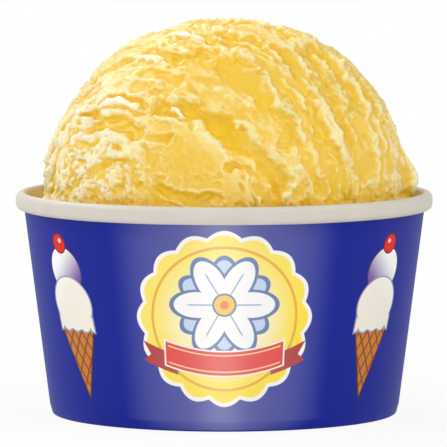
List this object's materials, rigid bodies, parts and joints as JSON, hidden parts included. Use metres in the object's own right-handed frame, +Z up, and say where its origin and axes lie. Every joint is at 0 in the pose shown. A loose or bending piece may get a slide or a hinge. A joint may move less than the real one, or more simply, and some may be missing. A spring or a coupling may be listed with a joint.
{
  "type": "ice cream cup",
  "caption": "Round paper cup with a rolled rim and set-in base, filled with scooped vanilla ice cream whose ridged ball stands above the rim.",
  "frame": {"origin": "middle of the ring that the cup stands on", "axes": "+Z up along the cup's axis, the printed front looks along -Y, +X to the right of someone facing it"},
  "size_m": [0.09, 0.09, 0.0859],
  "materials": {
    "wall_board": "satin",
    "base_board": "satin",
    "ice_cream": "satin"
  },
  "bodies": {
    "root": {"cup_wall": "wall_board", "cup_base": "base_board", "ice_cream": "ice_cream"}
  },
  "joints": []
}
